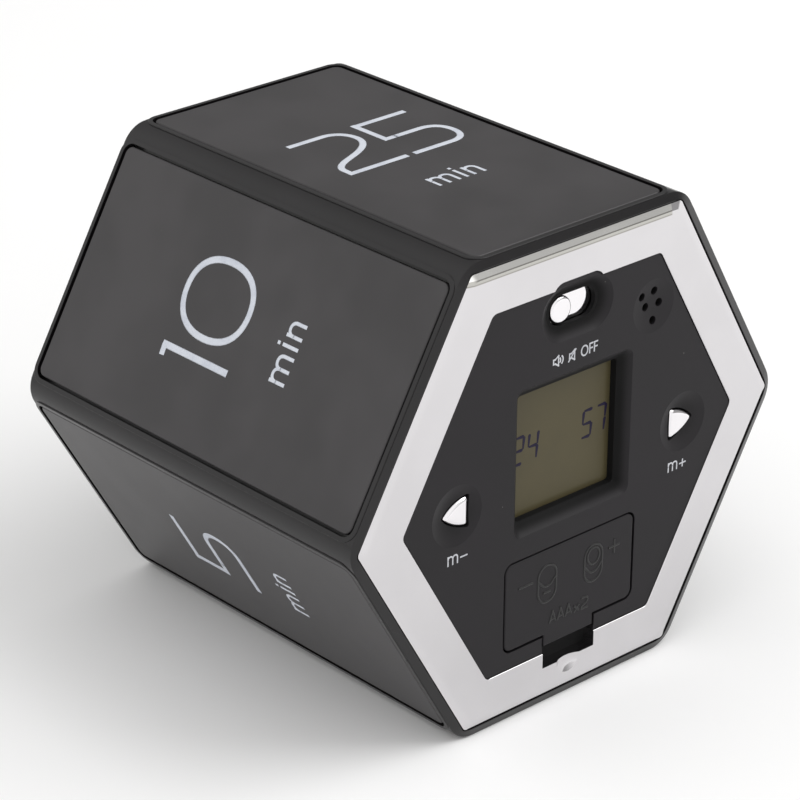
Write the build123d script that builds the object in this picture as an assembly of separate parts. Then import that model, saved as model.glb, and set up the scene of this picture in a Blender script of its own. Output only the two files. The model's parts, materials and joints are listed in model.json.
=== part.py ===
from build123d import *
import math
import os

# Hexagonal flip timer, in millimetres.
# It stands on the flat face below the 25 minute face. +Z is up, the control face looks along -Y,
# and the origin is under the middle of the object, on the surface that it stands on.
# "Depth" is the distance behind the front of the bright bezel, measured along +Y.

# ---- overall sizes ----
length = 68.0
across_corners = 79.7
ridge_radius = 4.6
shell_wall = 2.6

# ---- bead and recess round each side panel ----
bead_height = 0.12
bead_width = 0.7
bead_rounding = 0.1
ridge_land = 2.425
window_corner = 1.6
window_front = 1.35
window_rear_land = 0.75
panel_gap = 0.4
panel_thickness = 1.2
panel_edge_rounding = 0.25
panel_sink = 0.08
tape_thickness = 0.2
tape_margin = 2.0

# ---- front mouth of the housing ----
rim_depth = 0.2
rim_slope_depth = 0.4
rim_slope_width = 1.12
rim_land = 0.11
shadow_gap = 0.2
fit_gap = 0.2
ledge_thickness = 2.0
ledge_width = 2.1

# ---- bright bezel ----
band_width = 6.5
bezel_corner = 0.8
bezel_lip = 1.1
bezel_thickness = 2.0
bezel_step = 1.68
bezel_bevel_width = 1.0
bezel_bevel_depth = 0.3
bezel_inner_rounding = 0.15

# ---- control face ----
face_setback = 0.16
face_corner = 1.1
face_wall = 1.74
face_gap = 0.06
flange_thickness = 1.6
pocket_margin = 1.48

# ---- display ----
display_clearance = 1.09
window_side = 18.4
window_rounding = 0.5
window_slope_width = 1.6
window_slope_depth = 1.5
glass_depth = 2.7
glass_side_lap = 1.0
glass_end_lap = 1.6
glass_sheet = 1.1
glass_ledge = 2.1
glass_gap = 0.1
film_thickness = 0.2
block_wall = 1.0
shelf_thickness = 0.8
contact_strip_thickness = 1.6
board_room = 1.35

# ---- keys ----
key_corner_distance = 9.53
key_length = 4.4
key_height = 4.4
key_belly = 0.62
key_gap = 0.25
key_top = 0.3
key_travel = 0.5
key_flange = 1.0
key_flange_thickness = 0.8
dish_radius = 4.4
dish_depth = 0.7
switch_side = 6.0
switch_height = 3.5
plunger_radius = 1.7
plunger_height = 0.7

# ---- mode slider ----
slider_inset = 3.58
slider_step = 1.95
slot_end_gap = 0.35
slot_side_gap = 0.2
slider_dish_length = 13.2
slider_dish_height = 7.8
slider_dish_depth = 1.1
bump_width = 9.4
bump_rise = 0.86
nub_radius = 1.95
nub_top = 1.2
carrier_lap = 0.6
carrier_thickness = 0.8
carrier_gap = 0.2
lever_length = 1.6
lever_width = 1.4
lever_reach = 1.2
mode_switch_length = 10.0
mode_switch_width = 4.0

# ---- sound outlet and buzzer ----
sound_hole_radius = 0.6
sound_turn = 53.13
sound_inset = 0.4
sound_hole_offsets = [(-2.2, 1.8), (0.24, 2.08), (-1.32, 0.08), (1.28, 0.08), (0.12, -2.2)]
sound_dish_radius = 3.9
sound_dish_depth = 0.35
buzzer_room = 0.6
buzzer_stock_radius = 4.5
buzzer_height = 3.6
buzzer_wall = 0.8
buzzer_disc_thickness = 0.3

# ---- battery door ----
door_margin = 2.72
door_side_lap = 0.6
door_end_lap = 0.9
door_corner = 1.2
door_gap = 0.3
door_thickness = 1.6
door_edge_rounding = 0.2
tab_width = 9.4
tab_reach = 1.74
hook_spacing = 14.0
hook_width = 3.0
hook_thickness = 0.9
hook_gap = 0.2
latch_leg_thickness = 0.9
latch_leg_depth = 4.2
latch_nose = 0.25
hook_step = 1.2
hook_rise = 1.45
notch_width = 9.8
notch_reach = 2.32
keeper_gap = 0.9
scoop_width = 4.4
scoop_depth = 0.6

# ---- battery compartment: two AAA cells, put in end first ----
cell_radius = 5.25
cell_length = 44.5
cell_button_radius = 1.9
cell_button_length = 0.9
cell_gap = 0.7
cell_side_room = 0.65
cell_top_room = 0.35
cell_end_room = 1.2
case_wall = 0.9
case_end_wall = 0.9
spring_room = 3.3
spring_wire = 0.25
spring_turns = 3
contact_sheet = 0.3
contact_gap = 0.15
ear_reach = 2.8
ear_radius = 2.6
ear_post_height = 1.6
ear_thickness = 1.5
strip_width = 3.0

# ---- circuit board ----
board_thickness = 1.2
board_throat_gap = 0.5
board_flat_cut = 2.2
board_case_gap = 0.7
chip_clearance = 4.86
board_post = (19.5, 9.5)
post_radius = 2.2

# ---- tilt sensor ----
tilt_height = 14.0
tilt_apothem = 4.4
tilt_wall = 1.0
tilt_floor = 0.8
tilt_room = 4.7
tilt_lid_thickness = 0.8
ball_radius = 2.0
ball_rest_gap = 0.02

# ---- screws ----
screw_radius = 1.0
screw_head_radius = 1.8
screw_head_height = 1.3
screw_hole_gap = 0.15
front_screw_inset = 2.86
rear_screw_inset = 4.45
rear_post_radius = 4.0
rear_post_length = 12.0
rear_screw_length = 8.0
cover_thickness = 2.0
cover_inset = 0.25
cover_counterbore = 1.4

# ---- sizes that follow ----
cos30 = math.cos(math.radians(30))
apothem = across_corners / 2 * cos30
axis_height = apothem + bead_height
front_y = -length / 2
inner_apothem = apothem - shell_wall

mouth_apothem = apothem - rim_slope_width - rim_land
bezel_apothem = mouth_apothem - shadow_gap
bezel_body_apothem = bezel_apothem - bezel_step
seat_apothem = bezel_body_apothem + fit_gap
throat_radius = seat_apothem - ledge_width
face_apothem = bezel_apothem - band_width
pocket_apothem = face_apothem - pocket_margin
back_of_face = face_setback + face_wall
back_of_flange = bezel_thickness + flange_thickness

bead_top = apothem + bead_height
panel_top = bead_top - panel_sink
recess_floor = panel_top - panel_thickness - tape_thickness
window_width = across_corners / 2 - 2 * ridge_land
window_length = length - window_front - window_rear_land
window_middle = window_front + window_length / 2

cell_spread = cell_radius + cell_gap / 2
case_inner_width = 2 * (cell_spread + cell_radius + cell_side_room)
case_inner_height = 2 * (cell_radius + cell_top_room)
door_width = case_inner_width + 2 * door_side_lap
door_bottom = door_margin - face_apothem
door_top = door_bottom + case_inner_height + 2 * door_end_lap
cell_height = (door_top + door_bottom) / 2
tab_bottom = door_bottom - tab_reach
keeper_edge = tab_bottom - keeper_gap
notch_bottom = -face_apothem - notch_reach
case_top = cell_height + case_inner_height / 2 + case_wall
case_front = back_of_face + ear_post_height
ear_spread = case_inner_width / 2 + case_wall + ear_reach

glass_width = window_side + 2 * glass_side_lap
glass_height = window_side + 2 * glass_end_lap
block_side = glass_height + 2 * block_wall
display_height = door_top + hook_rise + display_clearance + block_side / 2
shelf_depth = glass_depth + 2 * film_thickness + 2 * glass_sheet + 0.05
board_depth = shelf_depth + shelf_thickness + board_room
board_back = board_depth + board_thickness
board_radius = throat_radius - board_throat_gap
board_apothem = throat_radius - board_flat_cut

key_middle = face_apothem / cos30 - key_corner_distance
slider_height = face_apothem - slider_inset
bump_top = face_apothem + bump_rise
slot_length = 2 * (slider_step + nub_radius + slot_end_gap)
slot_height = 2 * (nub_radius + slot_side_gap)
carrier_length = slot_length + 2 * (slider_step + carrier_lap)
carrier_width = slot_height + 2 * carrier_lap
holder_top = display_height + block_side / 2
holder_corner = math.hypot(block_side / 2, holder_top)
buzzer_radius = min(buzzer_stock_radius, (throat_radius - holder_corner) / 2 - buzzer_room)
sound_ring = (holder_corner + throat_radius) / 2 - sound_inset
sound_angle = math.radians(sound_turn)
sound_centre = (sound_ring * math.cos(sound_angle), sound_ring * math.sin(sound_angle))

front_screw_ring = bezel_body_apothem / cos30 - front_screw_inset
rear_screw_ring = inner_apothem / cos30 - rear_screw_inset
cell_front_left = back_of_face + spring_room + contact_gap
case_end = cell_front_left + cell_length + contact_sheet + cell_end_room
cover_front = length - cover_inset - cover_thickness

SIDE_FACES = {"25": 90, "10": 150, "5": 210, "60": 270, "45": 330, "30": 30}


# ---- helpers ----
def plane_at(depth):
    """A plane parallel to the control face; its x runs right, its y up and its z out of the face."""
    return Plane(origin=(0, front_y + depth, axis_height), x_dir=(1, 0, 0), z_dir=(0, -1, 0))


def slab(outline, near, far):
    """The outline, drawn on the control face, as a solid between two depths."""
    return extrude(plane_at(far) * outline, amount=far - near)


def tapered(near_outline, near, far_outline, far):
    """A solid that changes evenly from one outline to another of the same kind."""
    return loft([(plane_at(near) * near_outline).face(), (plane_at(far) * far_outline).face()])


def side_plane(angle, height):
    """A plane parallel to a side face, centred on its window; y runs to the back, z outwards."""
    turn = math.radians(angle)
    normal = Vector(math.cos(turn), 0, math.sin(turn))
    across = Vector(math.sin(turn), 0, -math.cos(turn))
    origin = Vector(0, front_y + window_middle, axis_height) + normal * height
    return Plane(origin=origin, x_dir=across, z_dir=normal)


def side_slab(outline, angle, low, high):
    return extrude(side_plane(angle, low) * outline, amount=high - low)


def hexagon(flat_distance, corner):
    outline = RegularPolygon(flat_distance, 6, major_radius=False)
    if outline.bounding_box().size.X < outline.bounding_box().size.Y:
        outline = Rot(0, 0, 30) * outline
    return fillet(outline.vertices(), corner)


def polar(radius, angle):
    turn = math.radians(angle)
    return Pos(radius * math.cos(turn), radius * math.sin(turn))


def stadium(width, height):
    return SlotOverall(width, height)


def front_edges(solid, depth):
    """The edges that lie in one plane parallel to the control face."""
    level = front_y + depth
    return [edge for edge in solid.edges() if abs(edge.bounding_box().min.Y - level) < 0.01
            and abs(edge.bounding_box().max.Y - level) < 0.01]


def pan_screw(near, far, radius=screw_radius, head_radius=screw_head_radius, slot=0.35):
    """A screw driven from the back: the tip is at depth near, the seat of its head at depth far."""
    shank = slab(Circle(radius), near, far)
    head = slab(Circle(head_radius), far, far + screw_head_height)
    head = fillet(front_edges(head, far + screw_head_height), 0.4)
    cross = Rectangle(head_radius * 1.2, slot) + Rectangle(slot, head_radius * 1.2)
    return shank + head - slab(cross, far + screw_head_height - 0.6, far + screw_head_height + 1)


def key_outline(side, grow=0.0):
    """A D with curved flanks: flat towards the middle of the face, pointed outwards."""
    flat = -key_length / 2 - grow
    tip = key_length / 2 + grow
    half = key_height / 2 + grow
    belly = (flat + (tip - flat) * key_belly, half * key_belly)
    upper = ThreePointArc((flat, half), belly, (tip, 0))
    lower = ThreePointArc((tip, 0), (belly[0], -belly[1]), (flat, -half))
    outline = make_face([upper, lower, Line((flat, -half), (flat, half))])
    outline = fillet(outline.vertices(), 0.35)
    if side < 0:
        outline = Rot(0, 0, 180) * outline
    return Pos(side * key_middle, 0) * outline


# ---- housing ----
def housing_shell():
    shell = slab(hexagon(apothem, ridge_radius), rim_depth, length)
    front_face = shell.faces().sort_by(Axis.Y)[0]
    shell = chamfer(front_face.edges(), rim_slope_width, rim_slope_depth, reference=front_face)
    shell = fillet(front_edges(shell, length), 0.3)
    for angle in SIDE_FACES.values():
        outer = RectangleRounded(window_width + 2 * bead_width, window_length + 2 * bead_width - 0.06,
                                 window_corner + bead_width)
        bead = side_slab(outer, angle, apothem - 1.0, bead_top)
        top = [edge for edge in bead.edges() if side_distance(edge, angle) > bead_top - 0.01]
        shell += fillet(top, bead_rounding)
    shell -= slab(hexagon(mouth_apothem, bezel_corner + shadow_gap), 0, bezel_lip)
    shell -= slab(hexagon(seat_apothem, 1.5), 0, back_of_flange)
    shell -= slab(Circle(throat_radius), 0, back_of_flange + ledge_thickness)
    shell -= slab(hexagon(inner_apothem, 2.0), back_of_flange + ledge_thickness, length)
    for angle in SIDE_FACES.values():
        window = RectangleRounded(window_width, window_length, window_corner)
        shell -= side_slab(window, angle, recess_floor, bead_top + 1)
    for angle in (60, 120, 240, 300):
        hole = polar(front_screw_ring, angle) * Circle(screw_radius + screw_hole_gap)
        shell -= slab(hole, back_of_flange - 1, back_of_flange + ledge_thickness + 1)
    for angle in (0, 120, 240):
        shell += rear_post(angle)
    return shell


def side_distance(edge, angle):
    turn = math.radians(angle)
    middle = edge.center()
    return middle.X * math.cos(turn) + (middle.Z - axis_height) * math.sin(turn)


def rear_post(angle):
    """A screw post that grows out of a corner of the housing."""
    post = polar(rear_screw_ring, angle) * Circle(rear_post_radius)
    post &= hexagon(apothem - 1.0, 2.0)
    pilot = polar(rear_screw_ring, angle) * Circle(screw_radius)
    solid = slab(post, cover_front - rear_post_length, cover_front)
    return solid - slab(pilot, cover_front - rear_screw_length - 1, cover_front)


def rear_cover():
    cover = slab(hexagon(inner_apothem - fit_gap, 1.8), cover_front, length - cover_inset)
    cover = fillet(front_edges(cover, length - cover_inset), 0.3)
    for angle in (0, 120, 240):
        spot = polar(rear_screw_ring, angle)
        cover -= slab(spot * Circle(screw_radius + screw_hole_gap), cover_front - 1, length)
        counterbore = spot * Circle(screw_head_radius + 0.3)
        cover -= slab(counterbore, length - cover_inset - cover_counterbore, length)
    return cover


def side_panel(angle):
    outline = RectangleRounded(window_width - 2 * panel_gap, window_length - 2 * panel_gap,
                               window_corner - panel_gap)
    panel = side_slab(outline, angle, panel_top - panel_thickness, panel_top)
    top = [edge for edge in panel.edges() if side_distance(edge, angle) > panel_top - 0.01]
    return fillet(top, panel_edge_rounding)


def panel_tape():
    sheets = []
    for angle in SIDE_FACES.values():
        outline = Rectangle(window_width - 2 * tape_margin, window_length - 2 * tape_margin)
        sheets.append(side_slab(outline, angle, recess_floor, recess_floor + tape_thickness))
    return Compound(sheets)


# ---- bright bezel and control face ----
def face_outline(grow=0.0):
    """The control face: a hexagon with a low bump over the mode slider."""
    bump_height = bump_top - slider_height
    bump = Pos(0, slider_height + bump_height / 2) * RectangleRounded(
        bump_width + 2 * grow, bump_height + 2 * grow, 2.0)
    return hexagon(face_apothem + grow, face_corner) + bump


def notch_outline(bottom, width):
    height = tab_bottom + 2.0 - bottom
    return Pos(0, bottom + height / 2) * Rectangle(width, height)


def chrome_bezel():
    crown = tapered(hexagon(bezel_apothem - bezel_bevel_width, bezel_corner), 0,
                    hexagon(bezel_apothem, bezel_corner), bezel_bevel_depth)
    bezel = crown + slab(hexagon(bezel_apothem, bezel_corner), bezel_bevel_depth, bezel_lip)
    bezel += slab(hexagon(bezel_body_apothem, 1.4), bezel_lip, bezel_thickness)
    bezel -= slab(face_outline(face_gap), -1, bezel_thickness + 1)
    inner = [edge for edge in front_edges(bezel, 0) if inside_face(edge)]
    bezel = fillet(inner, bezel_inner_rounding)
    bezel -= slab(notch_outline(notch_bottom, notch_width), -1, bezel_thickness + 1)
    bezel -= thumb_scoop()
    for angle in (60, 120, 240, 300):
        pilot = polar(front_screw_ring, angle) * Circle(screw_radius)
        bezel -= slab(pilot, 0.9, bezel_thickness + 1)
    return bezel


def inside_face(edge):
    """True for an edge on the inner outline of the bezel."""
    middle = edge @ 0.5
    return math.hypot(middle.X, middle.Z - axis_height) < bezel_apothem - bezel_bevel_width - 1.6


def thumb_scoop():
    """A shallow ball-shaped hollow that leads a fingernail to the door's tab."""
    half = scoop_width / 2
    ball_size = (half ** 2 + scoop_depth ** 2) / (2 * scoop_depth)
    return Pos(0, front_y + scoop_depth - ball_size, axis_height + notch_bottom) * Sphere(ball_size)


def round_dish(x, z, radius, depth):
    """A ball that cuts a soft dish into the control face."""
    ball_size = (radius ** 2 + depth ** 2) / (2 * depth)
    return Pos(x, front_y + face_setback + depth - ball_size, axis_height + z) * Sphere(ball_size)


def slider_dish():
    wide = Pos(0, slider_height) * stadium(slider_dish_length, slider_dish_height)
    narrow = Pos(0, slider_height) * stadium(slot_length + 1.0, slot_height + 1.0)
    above = slab(wide, face_setback - 1, face_setback)
    return tapered(wide, face_setback, narrow, face_setback + slider_dish_depth) + above


def display_slope():
    """The sloping border that leads down to the display window."""
    side = window_side + 2 * window_slope_width
    wide = Pos(0, display_height) * RectangleRounded(side, side, 1.2)
    opening = Pos(0, display_height) * RectangleRounded(window_side, window_side, window_rounding)
    return tapered(wide, face_setback, opening, face_setback + window_slope_depth)


def door_outline(grow=0.0):
    height = door_top - door_bottom
    body = Pos(0, cell_height) * RectangleRounded(
        door_width + 2 * grow, height + 2 * grow, door_corner + grow)
    tab_height = tab_reach + 2.0 + grow
    tab = Pos(0, tab_bottom - grow + tab_height / 2) * Rectangle(tab_width + 2 * grow, tab_height)
    return body + tab


def front_plate():
    plate = slab(face_outline(), face_setback, bezel_thickness)
    plate = fillet(front_edges(plate, face_setback), 0.12)
    plate += slab(hexagon(bezel_body_apothem, 1.4), bezel_thickness, back_of_flange)
    plate -= slab(hexagon(pocket_apothem, 1.0), back_of_face, back_of_flange + 1)
    block = Pos(0, display_height) * Rectangle(block_side, block_side)
    plate += slab(block, back_of_face, back_of_flange)
    plate += board_posts()
    plate -= display_slope()
    opening = Pos(0, display_height) * RectangleRounded(window_side, window_side, window_rounding)
    plate -= slab(opening, face_setback, back_of_flange + 1)
    seat = Pos(0, display_height) * Rectangle(glass_width + 2 * glass_gap, glass_height + 2 * glass_gap)
    plate -= slab(seat, glass_depth, back_of_flange + 1)
    plate -= slider_dish()
    slot = Pos(0, slider_height) * stadium(slot_length, slot_height)
    plate -= slab(slot, 0, back_of_flange)
    track = Pos(0, slider_height) * stadium(carrier_length + 2 * slider_step + 2 * fit_gap,
                                            carrier_width + 2 * fit_gap)
    plate -= slab(track, back_of_face, back_of_flange + 1)
    for side in (-1, 1):
        plate -= round_dish(side * key_middle, 0, dish_radius, dish_depth)
        plate -= slab(key_outline(side, key_gap), 0, back_of_flange)
    plate -= round_dish(sound_centre[0], sound_centre[1], sound_dish_radius, sound_dish_depth)
    for dx, dz in sound_hole_offsets:
        hole = Pos(sound_centre[0] + dx, sound_centre[1] + dz) * Circle(sound_hole_radius)
        plate -= slab(hole, 0, back_of_flange)
    plate -= slab(door_outline(door_gap), 0, back_of_flange + 1)
    plate -= slab(case_ears(fit_gap), case_front, back_of_flange + 1)
    plate -= slab(notch_outline(notch_bottom, notch_width), 0, bezel_thickness)
    plate -= slab(notch_outline(keeper_edge, notch_width), 0, back_of_flange + 1)
    for angle in (60, 120, 240, 300):
        hole = polar(front_screw_ring, angle) * Circle(screw_radius + screw_hole_gap)
        plate -= slab(hole, bezel_thickness - 0.5, back_of_flange + 1)
    return plate


def post_places():
    x, z = board_post
    return [(x, z), (-x, z), (x, -z), (-x, -z)]


def board_posts():
    """Posts behind the control face for the circuit board and for the battery case."""
    posts = []
    for x, z in post_places():
        post = slab(Pos(x, z) * Circle(post_radius), back_of_face, board_depth)
        posts.append(post - slab(Pos(x, z) * Circle(screw_radius), board_depth - 4.5, board_depth))
    for side in (-1, 1):
        spot = Pos(side * ear_spread, cell_height)
        post = slab(spot * Circle(post_radius), back_of_face, case_front)
        posts.append(post - slab(spot * Circle(screw_radius), back_of_face, case_front))
    return posts


# ---- display ----
def lcd_polarizer():
    outline = Pos(0, display_height) * Rectangle(glass_width - 0.6, glass_height - 1.6)
    return slab(outline, glass_depth, glass_depth + film_thickness)


def lcd_cell():
    near = glass_depth + film_thickness
    tall = glass_height
    front_glass = slab(Pos(0, display_height) * Rectangle(glass_width, tall), near, near + glass_sheet)
    short = glass_height - 2 * glass_ledge
    rear_glass = slab(Pos(0, display_height) * Rectangle(glass_width, short),
                      near + glass_sheet, near + 2 * glass_sheet)
    return front_glass + rear_glass


def lcd_reflector():
    near = glass_depth + film_thickness + 2 * glass_sheet
    outline = Pos(0, display_height) * Rectangle(glass_width - 0.4, glass_height - 2 * glass_ledge - 0.2)
    return slab(outline, near, near + film_thickness)


def strip_heights():
    reach = glass_height / 2 - glass_ledge / 2
    return [display_height - reach, display_height + reach]


def lcd_holder():
    """The frame behind the glass, with a shelf and two slots for the contact strips."""
    frame = Pos(0, display_height) * Rectangle(block_side, block_side)
    frame -= Pos(0, display_height) * Rectangle(glass_width + 2 * glass_gap, glass_height + 2 * glass_gap)
    holder = slab(frame, back_of_flange, board_depth)
    shelf = Pos(0, display_height) * Rectangle(glass_width + 0.6, glass_height + 0.6)
    for height in strip_heights():
        shelf -= Pos(0, height) * Rectangle(glass_width - 0.8, contact_strip_thickness + 0.2)
    return holder + slab(shelf, shelf_depth, shelf_depth + shelf_thickness)


def zebra_strips():
    near = glass_depth + film_thickness + glass_sheet
    outline = Rectangle(glass_width - 1.0, contact_strip_thickness)
    return Compound([slab(Pos(0, height) * outline, near, board_depth) for height in strip_heights()])


# ---- keys and their switches ----
def key_cap(side):
    cap = slab(key_outline(side), key_top, back_of_face + 0.1)
    cap = fillet(front_edges(cap, key_top), 0.7)
    flange_near = back_of_face + 0.1
    flange_far = flange_near + key_flange_thickness
    cap += slab(key_outline(side, key_flange), flange_near, flange_far)
    plunger_top = board_depth - switch_height - plunger_height
    return cap + slab(Pos(side * key_middle, 0) * Circle(1.5), flange_far, plunger_top)


def switch_body(side):
    spot = Pos(side * key_middle, 0)
    near = board_depth - switch_height
    body = slab(spot * RectangleRounded(switch_side, switch_side, 0.6), near, board_depth)
    well = spot * Circle(plunger_radius + 0.1)
    return body - slab(well, near, near + key_travel + 0.8)


def switch_plunger(side):
    near = board_depth - switch_height - plunger_height
    return slab(Pos(side * key_middle, 0) * Circle(plunger_radius), near, near + plunger_height + 0.7)


# ---- mode slider ----
def slider_spot():
    """At rest the slider is at its left position, with the sound on."""
    return Pos(-slider_step, slider_height)


def mode_slider():
    carrier_near = back_of_face + carrier_gap
    nub = slab(slider_spot() * Circle(nub_radius), nub_top, carrier_near)
    nub = fillet(front_edges(nub, nub_top), 0.5)
    carrier = slab(slider_spot() * stadium(carrier_length, carrier_width), carrier_near,
                   carrier_near + carrier_thickness)
    return nub + carrier


def lever_near():
    return back_of_face + carrier_gap + carrier_thickness


def mode_switch_near():
    return lever_near() + 0.9


def mode_switch_lever():
    outline = slider_spot() * Rectangle(lever_length, lever_width)
    return slab(outline, lever_near(), mode_switch_near() + lever_reach)


def mode_switch_body():
    outline = Pos(0, slider_height) * Rectangle(mode_switch_length, mode_switch_width)
    body = slab(outline, mode_switch_near(), board_depth)
    travel = 2 * slider_step + lever_length + 0.4
    slot = Pos(0, slider_height) * Rectangle(travel, lever_width + 0.3)
    return body - slab(slot, mode_switch_near() - 1, mode_switch_near() + lever_reach + 0.3)


# ---- buzzer ----
def buzzer_case():
    spot = Pos(*sound_centre)
    near = board_depth - buzzer_height
    case = slab(spot * Circle(buzzer_radius), near, board_depth)
    case -= slab(spot * Circle(buzzer_radius - buzzer_wall), near - 1, board_depth - 1.6)
    return case - slab(spot * Circle(buzzer_radius - 2 * buzzer_wall), near, board_depth - buzzer_wall)


def buzzer_disc():
    near = board_depth - 1.6 - buzzer_disc_thickness
    outline = Pos(*sound_centre) * Circle(buzzer_radius - buzzer_wall)
    return slab(outline, near, near + buzzer_disc_thickness)


# ---- battery door ----
def battery_door():
    near = face_setback
    far = near + door_thickness
    door = slab(door_outline(), near, far)
    door = fillet(front_edges(door, near), door_edge_rounding)
    for side in (-1, 1):
        x = side * hook_spacing / 2
        root = Pos(x, door_top - hook_step / 2) * Rectangle(hook_width, hook_step)
        hook_near = back_of_face + hook_gap
        door += slab(root, far, hook_near + hook_thickness)
        tongue_length = hook_step + hook_rise
        tongue = Pos(x, door_top - hook_step + tongue_length / 2) * Rectangle(hook_width, tongue_length)
        door += slab(tongue, hook_near, hook_near + hook_thickness)
    leg = Pos(0, tab_bottom + latch_leg_thickness / 2) * Rectangle(tab_width - 2.0, latch_leg_thickness)
    door += slab(leg, far - 0.5, latch_leg_depth)
    nose = Pos(0, tab_bottom - latch_nose / 2 + 0.1) * Rectangle(tab_width - 2.0, latch_nose + 0.2)
    return door + slab(nose, latch_leg_depth - 0.5, latch_leg_depth)


def door_contact():
    """The plate on the door that joins the two cells, with a dimple for the right one."""
    near = face_setback + door_thickness
    outline = Pos(0, cell_height) * RectangleRounded(2 * cell_spread + 8.0, 7.0, 1.0)
    plate = slab(outline, near, near + contact_sheet)
    tip = cell_front_right() - contact_gap
    dimple = slab(Pos(cell_spread, cell_height) * Circle(1.8), near + contact_sheet, tip)
    dimple = fillet(front_edges(dimple, tip), 0.5)
    return plate + dimple


def cell_front_right():
    """The right cell has its button towards the door, the left one its flat end."""
    return case_end - contact_sheet - spring_room - cell_length


def coil(near, far, x):
    """A conical contact spring along the depth, wide at near and narrow at far."""
    height = abs(far - near) - 2 * spring_wire
    path = Helix(pitch=height / spring_turns, height=height, radius=3.0, cone_angle=-18)
    start = Plane(origin=path @ 0, z_dir=path % 0)
    wire = sweep(start * Circle(spring_wire), path=path, is_frenet=True)
    direction = 1 if far > near else -1
    turn = Plane(origin=(x, front_y + near + direction * spring_wire, axis_height + cell_height),
                 x_dir=(1, 0, 0), z_dir=(0, direction, 0))
    return turn * wire


def door_spring():
    near = face_setback + door_thickness + contact_sheet
    return coil(near, cell_front_left - contact_gap, -cell_spread)


# ---- battery compartment ----
def case_ears(grow=0.0):
    return Pos(0, cell_height) * stadium(2 * (ear_spread + ear_radius + grow), 2 * (ear_radius + grow))


def battery_case():
    width = case_inner_width + 2 * case_wall
    height = case_inner_height + 2 * case_wall
    middle = Pos(0, cell_height)
    case = slab(middle * RectangleRounded(width, height, 1.0), case_front, case_end + case_end_wall)
    case += slab(case_ears(), case_front, case_front + ear_thickness)
    case -= slab(middle * Rectangle(case_inner_width, case_inner_height), case_front - 1, case_end)
    for side in (-1, 1):
        hole = Pos(side * ear_spread, cell_height) * Circle(screw_radius + screw_hole_gap)
        case -= slab(hole, case_front - 1, case_front + ear_thickness + 1)
        rivet = Pos(side * cell_spread, cell_height) * Circle(0.8)
        case -= slab(rivet, case_end - 1, case_end + case_end_wall + 1)
    return case


def battery_cell(x, near, button_first):
    spot = Pos(x, cell_height)
    can = cell_length - cell_button_length
    start = near + cell_button_length if button_first else near
    cell = slab(spot * Circle(cell_radius), start, start + can)
    rims = front_edges(cell, start) + front_edges(cell, start + can)
    cell = fillet(rims, 0.5)
    if button_first:
        return cell + slab(spot * Circle(cell_button_radius), near, start)
    return cell + slab(spot * Circle(cell_button_radius), start + can, start + can + cell_button_length)


def contact_button():
    """The contact for the left cell's button, riveted through the end of the case."""
    spot = Pos(-cell_spread, cell_height)
    plate = slab(spot * RectangleRounded(8, 8, 1), case_end - contact_sheet, case_end)
    tip = cell_front_left + cell_length
    dimple = slab(spot * Circle(1.6), tip, case_end - contact_sheet)
    return plate + dimple + slab(spot * Circle(0.8), case_end, case_end + case_end_wall)


def spring_plate():
    spot = Pos(cell_spread, cell_height)
    plate = slab(spot * RectangleRounded(8, 8, 1), case_end - contact_sheet, case_end)
    return plate + slab(spot * Circle(0.8), case_end, case_end + case_end_wall)


def contact_spring():
    return coil(case_end - contact_sheet, cell_front_right() + cell_length, cell_spread)


def supply_strip(side):
    """A flat lead from the end of the case, along its top, to the back of the board."""
    x = side * cell_spread
    outside = case_end + case_end_wall
    run = Pos(x, case_top + contact_sheet / 2) * Rectangle(strip_width, contact_sheet)
    strip = slab(run, board_back, outside + contact_sheet)
    drop = case_top + contact_sheet - cell_height + 1.5
    leg = Pos(x, cell_height - 1.5 + drop / 2) * Rectangle(strip_width, drop)
    strip += slab(leg, outside, outside + contact_sheet)
    foot = Pos(x, case_top + 1.6) * Rectangle(strip_width, 3.2)
    return strip + slab(foot, board_back, board_back + contact_sheet)


# ---- circuit board ----
def main_board():
    outline = hexagon(board_apothem, 2.0) & Circle(board_radius)
    cut_width = case_inner_width + 2 * case_wall + 2 * board_case_gap
    outline -= Pos(0, case_top + board_case_gap - 20) * Rectangle(cut_width, 40)
    for side in (-1, 1):
        outline -= Pos(side * ear_spread, cell_height) * Circle(ear_radius + 0.6)
    for x, z in post_places():
        outline -= Pos(x, z) * Circle(screw_radius + screw_hole_gap)
    return slab(outline, board_depth, board_back)


def chip_blob():
    blob = slab(Pos(-13, 6) * Circle(4.2), board_back, board_back + 1.3)
    return fillet(front_edges(blob, board_back + 1.3), 1.2)


def crystal():
    can = Pos(12, front_y + board_back + 1.1, axis_height + 4) * Cylinder(1.0, 6.0)
    return can + slab(Pos(12, 4) * Rectangle(1.2, 5.0), board_back, board_back + 0.6)


def chip_row(x, count, pitch, width, height, thickness):
    """A column of small parts that starts above the feet of the supply strips."""
    chips = []
    for index in range(count):
        spot = Pos(x, case_top + chip_clearance + index * pitch)
        chips.append(slab(spot * Rectangle(width, height), board_back, board_back + thickness))
    return Compound(chips)


# ---- tilt sensor ----
def tilt_case():
    spot = Pos(0, tilt_height)
    far = board_back + tilt_floor + tilt_room
    case = slab(spot * hexagon(tilt_apothem, 0.6), board_back, far)
    room = spot * hexagon(tilt_apothem - tilt_wall, 0.4)
    return case - slab(room, board_back + tilt_floor, far + 1)


def tilt_lid():
    near = board_back + tilt_floor + tilt_room
    return slab(Pos(0, tilt_height) * hexagon(tilt_apothem, 0.6), near, near + tilt_lid_thickness)


def tilt_ball():
    """The ball lies on the lower wall of its room."""
    drop = tilt_apothem - tilt_wall - ball_radius - ball_rest_gap
    depth = board_back + tilt_floor + tilt_room / 2
    return Pos(0, front_y + depth, axis_height + tilt_height - drop) * Sphere(ball_radius)


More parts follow.
